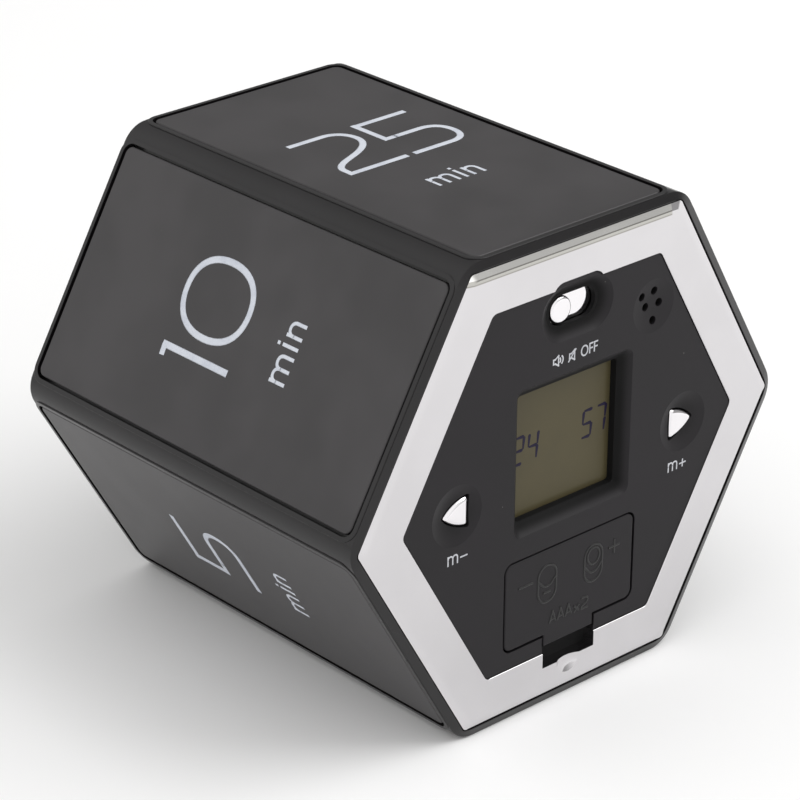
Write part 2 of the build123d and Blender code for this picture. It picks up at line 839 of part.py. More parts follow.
# ---- screws ----
def front_screws():
    screw = pan_screw(bezel_lip, back_of_flange + ledge_thickness)
    return Compound([turned(screw, front_screw_ring, angle) for angle in (60, 120, 240, 300)])


def rear_screws():
    seat = length - cover_inset - cover_counterbore
    screw = pan_screw(seat - rear_screw_length, seat)
    return Compound([turned(screw, rear_screw_ring, angle) for angle in (0, 120, 240)])


def turned(screw, ring, angle):
    turn = math.radians(angle)
    return Pos(ring * math.cos(turn), 0, ring * math.sin(turn)) * screw


def board_screws():
    screw = pan_screw(board_depth - 3.5, board_back)
    return Compound([Pos(x, 0, z) * screw for x, z in post_places()])


def case_screws():
    screw = pan_screw(back_of_face + 0.1, case_front + ear_thickness)
    return Compound([Pos(side * ear_spread, 0, cell_height) * screw for side in (-1, 1)])


def build():
    nodes = {
        "housing_shell": housing_shell(),
        "rear_cover": rear_cover(),
        "panel_tape": panel_tape(),
        "chrome_bezel": chrome_bezel(),
        "front_plate": front_plate(),
        "lcd_polarizer": lcd_polarizer(),
        "lcd_cell": lcd_cell(),
        "lcd_reflector": lcd_reflector(),
        "lcd_holder": lcd_holder(),
        "zebra_strips": zebra_strips(),
        "minus_key": key_cap(-1),
        "plus_key": key_cap(1),
        "minus_switch": switch_body(-1),
        "plus_switch": switch_body(1),
        "minus_plunger": switch_plunger(-1),
        "plus_plunger": switch_plunger(1),
        "mode_slider": mode_slider(),
        "mode_switch_lever": mode_switch_lever(),
        "mode_switch_body": mode_switch_body(),
        "buzzer_case": buzzer_case(),
        "buzzer_disc": buzzer_disc(),
        "battery_door": battery_door(),
        "door_contact": door_contact(),
        "door_spring": door_spring(),
        "battery_case": battery_case(),
        "battery_cell_left": battery_cell(-cell_spread, cell_front_left, False),
        "battery_cell_right": battery_cell(cell_spread, cell_front_right(), True),
        "contact_button": contact_button(),
        "spring_plate": spring_plate(),
        "contact_spring": contact_spring(),
        "positive_strip": supply_strip(-1),
        "negative_strip": supply_strip(1),
        "main_board": main_board(),
        "chip_blob": chip_blob(),
        "crystal": crystal(),
        "capacitors": chip_row(-5.5, 4, 2.4, 1.6, 0.9, 0.8),
        "resistors": chip_row(6.5, 5, 2.0, 1.6, 0.8, 0.5),
        "tilt_case": tilt_case(),
        "tilt_lid": tilt_lid(),
        "tilt_ball": tilt_ball(),
        "front_screws": front_screws(),
        "rear_screws": rear_screws(),
        "board_screws": board_screws(),
        "case_screws": case_screws(),
    }
    for name, angle in SIDE_FACES.items():
        nodes["side_panel_" + name] = side_panel(angle)
    return nodes


os.makedirs("parts", exist_ok=True)
for node, shape in build().items():
    export_step(shape, "parts/" + node + ".step")
    print(node)
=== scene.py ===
# %% [markdown]
# # A six-sided flip timer
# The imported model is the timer's frame: every housing part, key and screw is already in place, in
# metres, with +Z up and the control face looking along -Y. Blender adds what a mould and a paint
# shop add: finishes, printed numbers, raised marks, the segments of the display, and the light.
# Loading comes first, because every place below is read from the frame.

# %% Load the frame
import json
import math

import bmesh
import bpy
from mathutils import Matrix, Vector


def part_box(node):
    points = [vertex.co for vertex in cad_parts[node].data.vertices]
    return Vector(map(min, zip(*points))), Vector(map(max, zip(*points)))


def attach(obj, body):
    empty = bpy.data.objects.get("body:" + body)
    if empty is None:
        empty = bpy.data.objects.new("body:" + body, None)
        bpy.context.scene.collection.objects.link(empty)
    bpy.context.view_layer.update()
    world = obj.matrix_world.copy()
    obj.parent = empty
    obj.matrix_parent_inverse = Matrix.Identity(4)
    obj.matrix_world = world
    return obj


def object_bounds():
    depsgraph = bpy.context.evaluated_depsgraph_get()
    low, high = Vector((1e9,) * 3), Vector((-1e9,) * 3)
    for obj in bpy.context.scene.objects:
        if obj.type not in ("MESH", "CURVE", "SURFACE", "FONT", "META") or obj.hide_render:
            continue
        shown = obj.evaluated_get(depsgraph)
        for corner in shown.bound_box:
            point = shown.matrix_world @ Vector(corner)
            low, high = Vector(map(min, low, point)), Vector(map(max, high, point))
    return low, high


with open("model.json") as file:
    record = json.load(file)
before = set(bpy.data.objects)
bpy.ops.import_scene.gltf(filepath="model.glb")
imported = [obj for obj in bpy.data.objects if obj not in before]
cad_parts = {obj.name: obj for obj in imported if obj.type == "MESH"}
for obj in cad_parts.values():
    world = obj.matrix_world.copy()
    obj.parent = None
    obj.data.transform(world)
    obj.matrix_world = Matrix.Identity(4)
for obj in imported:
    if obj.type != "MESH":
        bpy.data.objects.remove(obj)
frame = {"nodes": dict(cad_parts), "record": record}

cad_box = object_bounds()
nodes = frame["nodes"]

# %% [markdown]
# ## Places worked out from the frame
# The bright ring is symmetrical about the timer's long axis, so the middle of its box gives the
# axis. The highest point of the panel on top gives the distance from the axis to the printed
# surface of all six panels, and the front of the battery door lies in the control face.

# %% Driving places
MM = 0.001
ring_low, ring_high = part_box("chrome_bezel")
axis_z = (ring_low.z + ring_high.z) / 2
panel_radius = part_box("side_panel_25")[1].z - axis_z
face_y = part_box("battery_door")[0].y
body_middle = (cad_box[0] + cad_box[1]) / 2
print("axis height mm:", round(axis_z / MM, 3), "panel radius mm:", round(panel_radius / MM, 3))

# %% [markdown]
# ## Camera
# A product shot of a small object is taken from a distance with a long lens, so that parallel
# edges stay nearly parallel. The camera is set by the point that it aims at, its distance and two
# angles, which is easier to correct than a location and a rotation.

# %% Camera
VIEW_AZIMUTH = math.radians(-42.50)
VIEW_ELEVATION = math.radians(25.44)
VIEW_ROLL = math.radians(0.34)
VIEW_DISTANCE = 0.4544
LENS_MM = 146.3
AIM = Vector((-0.0007, -0.0005, 0.0329))


def make_camera():
    back = Vector((math.sin(VIEW_AZIMUTH) * math.cos(VIEW_ELEVATION),
                   -math.cos(VIEW_AZIMUTH) * math.cos(VIEW_ELEVATION),
                   math.sin(VIEW_ELEVATION)))
    data = bpy.data.cameras.new("camera")
    data.lens = LENS_MM
    data.sensor_width = 36.0
    camera = bpy.data.objects.new("camera", data)
    bpy.context.scene.collection.objects.link(camera)
    turn = (-back).to_track_quat("-Z", "Y").to_matrix() @ Matrix.Rotation(VIEW_ROLL, 3, "Z")
    camera.matrix_world = Matrix.Translation(AIM + back * VIEW_DISTANCE) @ turn.to_4x4()
    bpy.context.scene.camera = camera
    return camera


camera = make_camera()
print("camera at mm:", [round(v / MM, 1) for v in camera.matrix_world.translation])

# %% [markdown]
# ## Helpers for materials
# A finish is a short list of shader nodes. These helpers keep each material readable: one makes
# the material with its Principled shader, one adds a node, and one joins two sockets. Patterns
# read Object coordinates scaled to millimetres, so that a grain of 0.1 mm is written as 0.1 mm.

# %% Material helpers
def add_node(tree, kind, **values):
    """A shader node with its properties and its input values set."""
    node = tree.nodes.new(kind)
    for name, value in values.items():
        label = name.replace("_", " ")
        if label in node.inputs:
            node.inputs[label].default_value = value
        else:
            setattr(node, name, value)
    return node


def join(tree, source, target):
    tree.links.new(source, target)


def maths(tree, operation, first, second=0.0, clamp=False):
    """A Math node; each input is a socket or a number."""
    node = tree.nodes.new("ShaderNodeMath")
    node.operation = operation
    node.use_clamp = clamp
    for index, value in enumerate((first, second)):
        if isinstance(value, bpy.types.NodeSocket):
            join(tree, value, node.inputs[index])
        else:
            node.inputs[index].default_value = value
    return node.outputs[0]


def blend_colours(tree, share, first, second):
    """Mixes two colours by a mask socket; each colour is a socket or three numbers."""
    node = tree.nodes.new("ShaderNodeMix")
    node.data_type = "RGBA"
    join(tree, share, node.inputs["Factor"])
    for socket, value in ((node.inputs[6], first), (node.inputs[7], second)):
        if isinstance(value, bpy.types.NodeSocket):
            join(tree, value, socket)
        else:
            socket.default_value = (*value, 1.0)
    return node.outputs[2]


def scaled(colour, factor):
    """A lighter or darker version of a colour."""
    return tuple(min(1.0, value * factor) for value in colour)


def steps(tree, value, low, high, low_out=0.0, high_out=1.0):
    """Maps a range of a value smoothly to another range."""
    node = tree.nodes.new("ShaderNodeMapRange")
    node.interpolation_type = "SMOOTHSTEP"
    join(tree, value, node.inputs["Value"])
    node.inputs["From Min"].default_value = low
    node.inputs["From Max"].default_value = high
    node.inputs["To Min"].default_value = low_out
    node.inputs["To Max"].default_value = high_out
    return node.outputs["Result"]


def millimetres(tree, shift=(0.0, 0.0, 0.0), turn=(0.0, 0.0, 0.0)):
    """Object coordinates in millimetres, moved and turned by a Mapping node."""
    place = tree.nodes.new("ShaderNodeTexCoord")
    mapping = tree.nodes.new("ShaderNodeMapping")
    mapping.inputs["Location"].default_value = shift
    mapping.inputs["Rotation"].default_value = turn
    mapping.inputs["Scale"].default_value = (1000.0, 1000.0, 1000.0)
    join(tree, place.outputs["Object"], mapping.inputs["Vector"])
    return mapping.outputs["Vector"]


def new_material(name, colour, roughness, metallic=0.0, specular=0.5):
    """A material with a Principled shader, returned with its tree and its shader."""
    material = bpy.data.materials.new(name)
    material.use_nodes = True
    tree = material.node_tree
    shader = tree.nodes["Principled BSDF"]
    shader.inputs["Base Color"].default_value = (*colour, 1.0)
    shader.inputs["Roughness"].default_value = roughness
    shader.inputs["Metallic"].default_value = metallic
    shader.inputs["Specular IOR Level"].default_value = specular
    return material, tree, shader


def paint(tree, shader, mask, first, second):
    """Colours a finish between two colours by a mask."""
    join(tree, blend_colours(tree, mask, first, second), shader.inputs["Base Color"])


print("material helpers ready")

# %% [markdown]
# ## Effect 1: moulded grain
# A moulded plastic surface copies its steel mould. Spark-eroded steel leaves a fine even grain,
# and the resin flows a little unevenly, so there is a slow change of gloss over several
# millimetres. Both could be painted, but two noises at two scales give the same and need no
# unwrapping. The effect is built once as a node group and placed in each plastic with its values.

# %% Group: moulded grain
def new_group(name, inputs, outputs):
    """An empty shader node group with named sockets."""
    group = bpy.data.node_groups.new(name, "ShaderNodeTree")
    for label, kind, value in inputs:
        socket = group.interface.new_socket(label, in_out="INPUT", socket_type=kind)
        if value is not None:
            socket.default_value = value
    for label, kind in outputs:
        group.interface.new_socket(label, in_out="OUTPUT", socket_type=kind)
    return group, group.nodes.new("NodeGroupInput"), group.nodes.new("NodeGroupOutput")


def place_group(tree, group, **values):
    node = tree.nodes.new("ShaderNodeGroup")
    node.node_tree = group
    for name, value in values.items():
        socket = node.inputs[name.replace("_", " ")]
        if isinstance(value, bpy.types.NodeSocket):
            join(tree, value, socket)
        else:
            socket.default_value = value
    return node


def build_moulded_grain():
    group, start, end = new_group(
        "moulded_grain",
        [("Place", "NodeSocketVector", None), ("Grain Size", "NodeSocketFloat", 0.1),
         ("Flow Size", "NodeSocketFloat", 12.0)],
        [("Grain", "NodeSocketFloat"), ("Flow", "NodeSocketFloat")])
    for label, detail, size in (("Grain", 3.0, "Grain Size"), ("Flow", 2.0, "Flow Size")):
        noise = add_node(group, "ShaderNodeTexNoise", Detail=detail, Roughness=0.6)
        scale = maths(group, "DIVIDE", 1.0, start.outputs[size])
        join(group, start.outputs["Place"], noise.inputs["Vector"])
        join(group, scale, noise.inputs["Scale"])
        join(group, noise.outputs["Fac"], end.inputs[label])
    return group


moulded_grain = build_moulded_grain()
print("group:", moulded_grain.name)

# %% [markdown]
# ## Effect 2: dust specks
# Black plastic shows every speck of dust. A Voronoi pattern spreads points evenly, and only the
# cells whose own random number is high keep their speck, so the specks are rare and uneven.

# %% Group: dust specks
def build_dust_specks():
    group, start, end = new_group(
        "dust_specks",
        [("Place", "NodeSocketVector", None), ("Spacing", "NodeSocketFloat", 3.0),
         ("Speck Size", "NodeSocketFloat", 0.08), ("Share", "NodeSocketFloat", 0.2)],
        [("Mask", "NodeSocketFloat")])
    cells = add_node(group, "ShaderNodeTexVoronoi", Randomness=1.0)
    scale = maths(group, "DIVIDE", 1.0, start.outputs["Spacing"])
    join(group, start.outputs["Place"], cells.inputs["Vector"])
    join(group, scale, cells.inputs["Scale"])
    reach = maths(group, "MULTIPLY", cells.outputs["Distance"], start.outputs["Spacing"])
    near = maths(group, "LESS_THAN", reach, start.outputs["Speck Size"])
    parts = group.nodes.new("ShaderNodeSeparateColor")
    join(group, cells.outputs["Color"], parts.inputs["Color"])
    chosen = maths(group, "LESS_THAN", parts.outputs["Red"], start.outputs["Share"])
    join(group, maths(group, "MULTIPLY", near, chosen), end.inputs["Mask"])
    return group


dust_specks = build_dust_specks()
print("group:", dust_specks.name)

# %% [markdown]
# ## Effect 3: handling polish
# Fingers and table tops polish the corners of a hexagonal housing first. The distance from the
# long axis says how close a point is to a corner, so a mask that grows with that distance finds
# the worn ridges without any painting, and a noise breaks it up.

# %% Group: handling polish
def build_handling_polish():
    group, start, end = new_group(
        "handling_polish",
        [("Place", "NodeSocketVector", None), ("Axis Height", "NodeSocketFloat", 0.0),
         ("Start Radius", "NodeSocketFloat", 36.0), ("Full Radius", "NodeSocketFloat", 39.0)],
        [("Mask", "NodeSocketFloat")])
    parts = group.nodes.new("ShaderNodeSeparateXYZ")
    join(group, start.outputs["Place"], parts.inputs[0])
    height = maths(group, "SUBTRACT", parts.outputs["Z"], start.outputs["Axis Height"])
    square = maths(group, "ADD", maths(group, "MULTIPLY", height, height),
                   maths(group, "MULTIPLY", parts.outputs["X"], parts.outputs["X"]))
    radius = maths(group, "SQRT", square)
    span = maths(group, "SUBTRACT", start.outputs["Full Radius"], start.outputs["Start Radius"])
    past = maths(group, "SUBTRACT", radius, start.outputs["Start Radius"])
    share = maths(group, "DIVIDE", past, span)
    noise = add_node(group, "ShaderNodeTexNoise", Scale=0.35, Detail=4.0)
    join(group, start.outputs["Place"], noise.inputs["Vector"])
    patches = steps(group, noise.outputs["Fac"], 0.35, 0.65, 0.4, 1.0)
    join(group, maths(group, "MULTIPLY", share, patches, clamp=True), end.inputs["Mask"])
    return group


handling_polish = build_handling_polish()
print("group:", handling_polish.name)

# %% [markdown]
# ## Effect 4: drawn metal
# Springs, contacts and screws are drawn, rolled or turned, which leaves fine lines in one
# direction. A noise squeezed along one axis gives lines; the material decides how deep they are.

# %% Group: drawn metal
def build_drawn_metal():
    group, start, end = new_group(
        "drawn_metal",
        [("Place", "NodeSocketVector", None), ("Line Size", "NodeSocketFloat", 0.08)],
        [("Lines", "NodeSocketFloat")])
    squeeze = group.nodes.new("ShaderNodeVectorMath")
    squeeze.operation = "MULTIPLY"
    squeeze.inputs[1].default_value = (1.0, 0.06, 1.0)
    noise = add_node(group, "ShaderNodeTexNoise", Detail=3.0)
    join(group, start.outputs["Place"], squeeze.inputs[0])
    join(group, squeeze.outputs[0], noise.inputs["Vector"])
    join(group, maths(group, "DIVIDE", 1.0, start.outputs["Line Size"]), noise.inputs["Scale"])
    join(group, noise.outputs["Fac"], end.inputs["Lines"])
    return group


drawn_metal = build_drawn_metal()
print("group:", drawn_metal.name)

# %% [markdown]
# ## Plastics
# All black parts are the same kind of resin, but each has its own mould texture: the housing is
# satin, the six printed panels are flatter and a little lighter, and the control face has the
# coarsest grain. Light hardly reaches the bottom of the face's dishes and pockets, so the face
# is painted darker with depth, as painted shade, and made duller there. One function makes all six
# plastics, so that only their differences are written down.

# %% Plastics
DUST_COLOUR = (0.22, 0.21, 0.20)
RECESS_SHADE_COLOUR = (0.002, 0.002, 0.002)
RECESS_START = face_y / MM + 0.08
RECESS_END = face_y / MM + 1.1
EVEN_LOW, EVEN_HIGH = 0.3, 0.7


def split(tree, place):
    """The three coordinates of a place in millimetres."""
    parts = tree.nodes.new("ShaderNodeSeparateXYZ")
    join(tree, place, parts.inputs[0])
    return parts.outputs


def grain_bump(tree, shader, height, depth_mm):
    bump = add_node(tree, "ShaderNodeBump", Strength=1.0)
    bump.inputs["Distance"].default_value = depth_mm * MM
    join(tree, height, bump.inputs["Height"])
    join(tree, bump.outputs["Normal"], shader.inputs["Normal"])
    return bump


def plastic(name, colour, roughness, grain_size, grain_depth,
            specular=0.5, dust=0.0, polish=0.0, recess_shade=0.0):
    """Moulded plastic with grain, uneven gloss, dust, polished ridges and painted shade in
    recesses.
    """
    material, tree, shader = new_material(name, colour, roughness, specular=specular)
    place = millimetres(tree)
    grain = place_group(tree, moulded_grain, Place=place, Grain_Size=grain_size, Flow_Size=14.0)
    flow = grain.outputs["Flow"]
    uneven = steps(tree, flow, EVEN_LOW, EVEN_HIGH)
    shade = blend_colours(tree, uneven, scaled(colour, 0.86), scaled(colour, 1.22))
    rough = steps(tree, flow, EVEN_LOW, EVEN_HIGH, roughness * 0.93, roughness * 1.07)
    if polish:
        worn = place_group(tree, handling_polish, Place=place, Axis_Height=axis_z / MM)
        smoother = maths(tree, "MULTIPLY", worn.outputs["Mask"], polish)
        rough = maths(tree, "SUBTRACT", rough, smoother)
    if dust:
        specks = place_group(tree, dust_specks, Place=place,
                             Spacing=2.6, Speck_Size=0.085, Share=dust)
        shade = blend_colours(tree, specks.outputs["Mask"], shade, DUST_COLOUR)
        rougher = maths(tree, "MULTIPLY", specks.outputs["Mask"], 0.3)
        rough = maths(tree, "ADD", rough, rougher, clamp=True)
    # Painted shade: the colour grows darker towards the back of the face's dishes and pockets.
    if recess_shade:
        recess_shade_mask = steps(tree, split(tree, place)["Y"], RECESS_START, RECESS_END, 0.0, recess_shade)
        shade = blend_colours(tree, recess_shade_mask, shade, RECESS_SHADE_COLOUR)
        rough = maths(tree, "ADD", rough, maths(tree, "MULTIPLY", recess_shade_mask, 0.35), clamp=True)
    join(tree, shade, shader.inputs["Base Color"])
    join(tree, rough, shader.inputs["Roughness"])
    grain_bump(tree, shader, grain.outputs["Grain"], grain_depth)
    return material


housing_satin = plastic("satin_black_housing", (0.0060, 0.0052, 0.0058), 0.27, 0.12, 0.0030,
                        specular=0.41, dust=0.05, polish=0.08)
panel_matte = plastic("printed_panel_black", (0.034, 0.0318, 0.0333), 0.36, 0.10, 0.0025,
                      specular=0.42, dust=0.03)
face_matte = plastic("spark_eroded_face", (0.0095, 0.0082, 0.0098), 0.50, 0.13, 0.005,
                     specular=0.24, dust=0.09, recess_shade=0.92)
# Painted shade: the raised marks are coloured darker than the face; their lower roughness is real.
raised_gloss_and_shade = plastic("polished_raised_marks_painted_shade", (0.004, 0.004, 0.004), 0.30, 0.13, 0.002,
                       specular=0.4)
inner_moulding = plastic("inner_black_moulding", (0.014, 0.014, 0.014), 0.5, 0.3, 0.01)
natural_nylon = plastic("natural_nylon", (0.78, 0.76, 0.70), 0.45, 0.4, 0.006)
print("plastics: 6")

# %% [markdown]
# ## Bright chrome
# The ring, the two keys and the slider are plastic with a plated skin: copper, nickel and a very
# thin layer of chromium. It is a mirror, but the moulding under it is never quite flat, so
# reflections swim a little. A slow, very shallow bump gives that, and a faint haze of handling
# marks changes the roughness. The ring's upper edge carries a painted reflection: a darker band on
# the flat with a fine dark line under it and a bright band on its slope; it ends a little short of
# the right corner. Masks by height and by width make it, so no geometry has to be cut.

# %% Chrome
STRIP_WIDE = 1.35
STRIP_LINE = 0.16
SLOPE_WIDE = 0.82
REFLECTION_FLAT_COLOUR = (0.50, 0.49, 0.46)
REFLECTION_SLOPE_COLOUR = (0.97, 0.96, 0.93)
REFLECTION_LINE_COLOUR = (0.30, 0.29, 0.26)
STRIP_END_GAP = 2.0
strip_top = (ring_high.z - axis_z) / MM
strip_end = strip_top * math.tan(math.radians(30)) - STRIP_END_GAP


def painted_reflection_strip(tree, place):
    """Masks of the painted reflection on the ring's upper edge, of the line under it and of its
    slope.
    """
    parts = split(tree, place)
    height = maths(tree, "SUBTRACT", parts["Z"], axis_z / MM)
    slope = steps(tree, height, strip_top - SLOPE_WIDE - 0.04, strip_top - SLOPE_WIDE + 0.04)
    inside = steps(tree, height, strip_top - STRIP_WIDE - 0.06, strip_top - STRIP_WIDE + 0.06)
    line_low = strip_top - STRIP_WIDE - STRIP_LINE
    near_line = steps(tree, height, line_low - 0.06, line_low + 0.06)
    before_end = steps(tree, parts["X"], strip_end - 0.15, strip_end + 0.15, 1.0, 0.0)
    reflection_strip = maths(tree, "MULTIPLY", inside, before_end)
    under = maths(tree, "SUBTRACT", near_line, inside, clamp=True)
    return reflection_strip, maths(tree, "MULTIPLY", under, before_end), slope


def bright_chrome(name, level, reflection_strip=False):
    colour = (level, level * 0.98, level)
    material, tree, shader = new_material(name, colour, 0.07, metallic=1.0)
    place = millimetres(tree)
    grain = place_group(tree, moulded_grain, Place=place, Grain_Size=5.0, Flow_Size=9.0)
    rough = steps(tree, grain.outputs["Flow"], 0.35, 0.7, 0.05, 0.13)
    uneven = steps(tree, grain.outputs["Flow"], EVEN_LOW, EVEN_HIGH)
    shade = blend_colours(tree, uneven, scaled(colour, 0.97), colour)
    # Painted reflection: fixed colours on the ring's upper edge stand in for a reflected band.
    if reflection_strip:
        band, line, slope = painted_reflection_strip(tree, place)
        reflection_colours = blend_colours(tree, slope, REFLECTION_FLAT_COLOUR, REFLECTION_SLOPE_COLOUR)
        shade = blend_colours(tree, band, shade, reflection_colours)
        shade = blend_colours(tree, line, shade, REFLECTION_LINE_COLOUR)
    join(tree, shade, shader.inputs["Base Color"])
    join(tree, rough, shader.inputs["Roughness"])
    grain_bump(tree, shader, grain.outputs["Grain"], 0.006)
    return material


chrome_plating = bright_chrome("bright_chrome_plating", 0.66, reflection_strip=True)
# Painted light: the keys and the slider get a lighter copy of the ring's chrome.
lighter_key_plating = bright_chrome("key_plating_painted_lighter", 0.86)
print("chrome finishes:", chrome_plating.name, lighter_key_plating.name)

# %% [markdown]
# ## Metals inside the timer
# Springs and contacts are nickel-plated steel, the screws are zinc-plated and darker, and the
# sounder's disc is brass. All are drawn or rolled, so they share one function.

# %% Metals
def metal(name, colour, roughness, line_size, line_depth):
    material, tree, shader = new_material(name, colour, roughness, metallic=1.0)
    lines = place_group(tree, drawn_metal, Place=millimetres(tree), Line_Size=line_size)
    share = steps(tree, lines.outputs["Lines"], 0.35, 0.65)
    paint(tree, shader, share, scaled(colour, 0.8), colour)
    join(tree, steps(tree, lines.outputs["Lines"], 0.3, 0.7, roughness * 0.75, roughness * 1.3),
         shader.inputs["Roughness"])
    grain_bump(tree, shader, lines.outputs["Lines"], line_depth)
    return material


spring_nickel = metal("nickel_plated_steel", (0.62, 0.61, 0.58), 0.25, 0.10, 0.003)
screw_zinc = metal("zinc_plated_steel", (0.42, 0.42, 0.44), 0.35, 0.14, 0.005)
sounder_brass = metal("sounder_brass", (0.75, 0.55, 0.25), 0.28, 0.20, 0.003)
print("metals: 3")

# %% [markdown]
# ## Display stack
# The display is a sandwich: a polarizing film in front, two sheets of glass with the liquid
# crystal between them, and a reflecting film behind. Seen at a slant the stack looks like one
# olive sheet, so the film and the glass both carry that colour. Real see-through layers that
# touch each other would only add noise to the render.

# %% Display materials
def olive_sheet(name, colour, roughness):
    """The colour of the display at rest, slightly uneven as a film bonded to glass is."""
    material, tree, shader = new_material(name, colour, roughness, specular=0.25)
    grain = place_group(tree, moulded_grain, Place=millimetres(tree), Grain_Size=0.2, Flow_Size=6.0)
    flow = grain.outputs["Flow"]
    uneven = steps(tree, flow, EVEN_LOW, EVEN_HIGH)
    paint(tree, shader, uneven, scaled(colour, 0.92), colour)
    join(tree, steps(tree, flow, EVEN_LOW, EVEN_HIGH, roughness * 0.95, roughness * 1.05),
         shader.inputs["Roughness"])
    return material


def satin_reflector():
    material, tree, shader = new_material("satin_reflector", (0.42, 0.38, 0.24), 0.45)
    grain = place_group(tree, moulded_grain, Place=millimetres(tree),
                        Grain_Size=0.06, Flow_Size=10.0)
    paint(tree, shader, grain.outputs["Grain"], (0.36, 0.32, 0.20), (0.46, 0.42, 0.27))
    grain_bump(tree, shader, grain.outputs["Grain"], 0.004)
    return material


def segment_dye():
    material, tree, shader = new_material("liquid_crystal_dye", (0.008, 0.006, 0.022), 0.55,
                                          specular=0.2)
    grain = place_group(tree, moulded_grain, Place=millimetres(tree), Grain_Size=0.1, Flow_Size=4.0)
    paint(tree, shader, grain.outputs["Flow"], (0.006, 0.004, 0.018), (0.013, 0.009, 0.034))
    return material


polarizing_film = olive_sheet("polarizing_film", (0.069, 0.058, 0.028), 0.40)
display_glass = olive_sheet("display_glass", (0.066, 0.055, 0.026), 0.42)
reflector_film = satin_reflector()
display_dye = segment_dye()
print("display materials: 4")

# %% [markdown]
# ## Board, rubber, tape and battery jackets
# These show only when the door is open or a cover is off, but they are finished like the rest:
# solder mask over a woven board, striped contact rubber, fibrous tape and printed cell jackets.
# The jackets carry plain colour bands and no lettering.

# %% Inner materials
def solder_mask():
    material, tree, shader = new_material("green_solder_mask", (0.02, 0.16, 0.06), 0.3)
    place = millimetres(tree)
    weave = add_node(tree, "ShaderNodeTexBrick", Scale=1.0, Mortar_Size=0.06)
    weave.inputs["Brick Width"].default_value = 0.9
    weave.inputs["Row Height"].default_value = 0.45
    turned = add_node(tree, "ShaderNodeMapping")
    turned.inputs["Rotation"].default_value = (math.radians(90), 0.0, 0.0)
    join(tree, place, turned.inputs["Vector"])
    join(tree, turned.outputs["Vector"], weave.inputs["Vector"])
    paint(tree, shader, weave.outputs["Fac"], (0.018, 0.15, 0.055), (0.03, 0.22, 0.08))
    grain_bump(tree, shader, weave.outputs["Fac"], 0.006)
    shader.inputs["Coat Weight"].default_value = 0.4
    return material


def striped_rubber():
    material, tree, shader = new_material("contact_rubber", (0.3, 0.12, 0.10), 0.6)
    wave = add_node(tree, "ShaderNodeTexWave", Scale=1.6, Distortion=0.0)
    join(tree, millimetres(tree), wave.inputs["Vector"])
    paint(tree, shader, wave.outputs["Fac"], (0.02, 0.02, 0.02), (0.11, 0.085, 0.06))
    return material


def fibre_tape():
    material, tree, shader = new_material("fibre_tape", (0.75, 0.74, 0.68), 0.8)
    grain = place_group(tree, moulded_grain, Place=millimetres(tree), Grain_Size=0.5, Flow_Size=5.0)
    paint(tree, shader, grain.outputs["Grain"], (0.60, 0.59, 0.53), (0.82, 0.81, 0.76))
    grain_bump(tree, shader, grain.outputs["Grain"], 0.03)
    return material


def cell_jacket():
    """Dark can with a copper band near one end, divided by its place along the timer's depth."""
    material, tree, shader = new_material("cell_jacket", (0.03, 0.04, 0.06), 0.25, metallic=0.6)
    place = millimetres(tree)
    band = steps(tree, split(tree, place)["Y"], 3.0, 3.4)
    paint(tree, shader, band, (0.025, 0.03, 0.04), (0.62, 0.30, 0.12))
    grain = place_group(tree, moulded_grain, Place=place, Grain_Size=0.3, Flow_Size=8.0)
    join(tree, steps(tree, grain.outputs["Flow"], 0.3, 0.7, 0.2, 0.32), shader.inputs["Roughness"])
    grain_bump(tree, shader, grain.outputs["Grain"], 0.004)
    shader.inputs["Coat Weight"].default_value = 0.5
    return material


board_mask = solder_mask()
contact_rubber = striped_rubber()
white_tape = fibre_tape()
jacket = cell_jacket()
chip_epoxy = plastic("cured_epoxy", (0.012, 0.012, 0.012), 0.22, 0.6, 0.01)
chip_ceramic = plastic("sintered_ceramic", (0.42, 0.32, 0.20), 0.5, 0.15, 0.01)
print("inner materials: 6")

# %% [markdown]
# ## Give every part its finish
# The record names a material slot for each part. A table from slot to finish dresses all of them
# at once, and nothing is left with the plain colour that came with the frame.

# %% Finishes by slot
FINISHES = {
    "housing_black": housing_satin,
    "panel_black": panel_matte,
    "face_black": face_matte,
    "bright_chrome": chrome_plating,
    "display_film": polarizing_film,
    "display_glass": display_glass,
    "reflector_film": reflector_film,
    "inner_black": inner_moulding,
    "white_tape": white_tape,
    "zebra_rubber": contact_rubber,
    "spring_steel": spring_nickel,
    "screw_steel": screw_zinc,
    "nylon_white": natural_nylon,
    "board_green": board_mask,
    "epoxy_black": chip_epoxy,
    "buzzer_brass": sounder_brass,
    "chip_ceramic": chip_ceramic,
    "cell_jacket": jacket,
}

# Parts that take the lighter copy of the chrome, as painted light.
LIGHTER_CHROME_PARTS = ("minus_key", "plus_key", "mode_slider")


def dress_nodes():
    for part in frame["record"]["subparts"]:
        node = nodes[part["node"]]
        finish = lighter_key_plating if part["node"] in LIGHTER_CHROME_PARTS else FINISHES[part["material_slot"]]
        for index in range(len(node.material_slots)):
            node.material_slots[index].material = finish


dress_nodes()

# %% [markdown]
# ## Printing ink
# The numbers are screen-printed in off-white ink. A print is a film about 0.02 mm thick with
# soft edges, so it is built as real strokes that stand just proud of the panel, and its colour
# varies slightly, as thin ink over black does.

# %% Ink
def printing_ink(name, colour, thin_colour):
    material, tree, shader = new_material(name, colour, 0.5)
    grain = place_group(tree, moulded_grain, Place=millimetres(tree),
                        Grain_Size=0.12, Flow_Size=3.0)
    share = maths(tree, "MULTIPLY", grain.outputs["Grain"], grain.outputs["Flow"])
    paint(tree, shader, steps(tree, share, 0.12, 0.3), thin_colour, colour)
    grain_bump(tree, shader, grain.outputs["Grain"], 0.004)
    return material


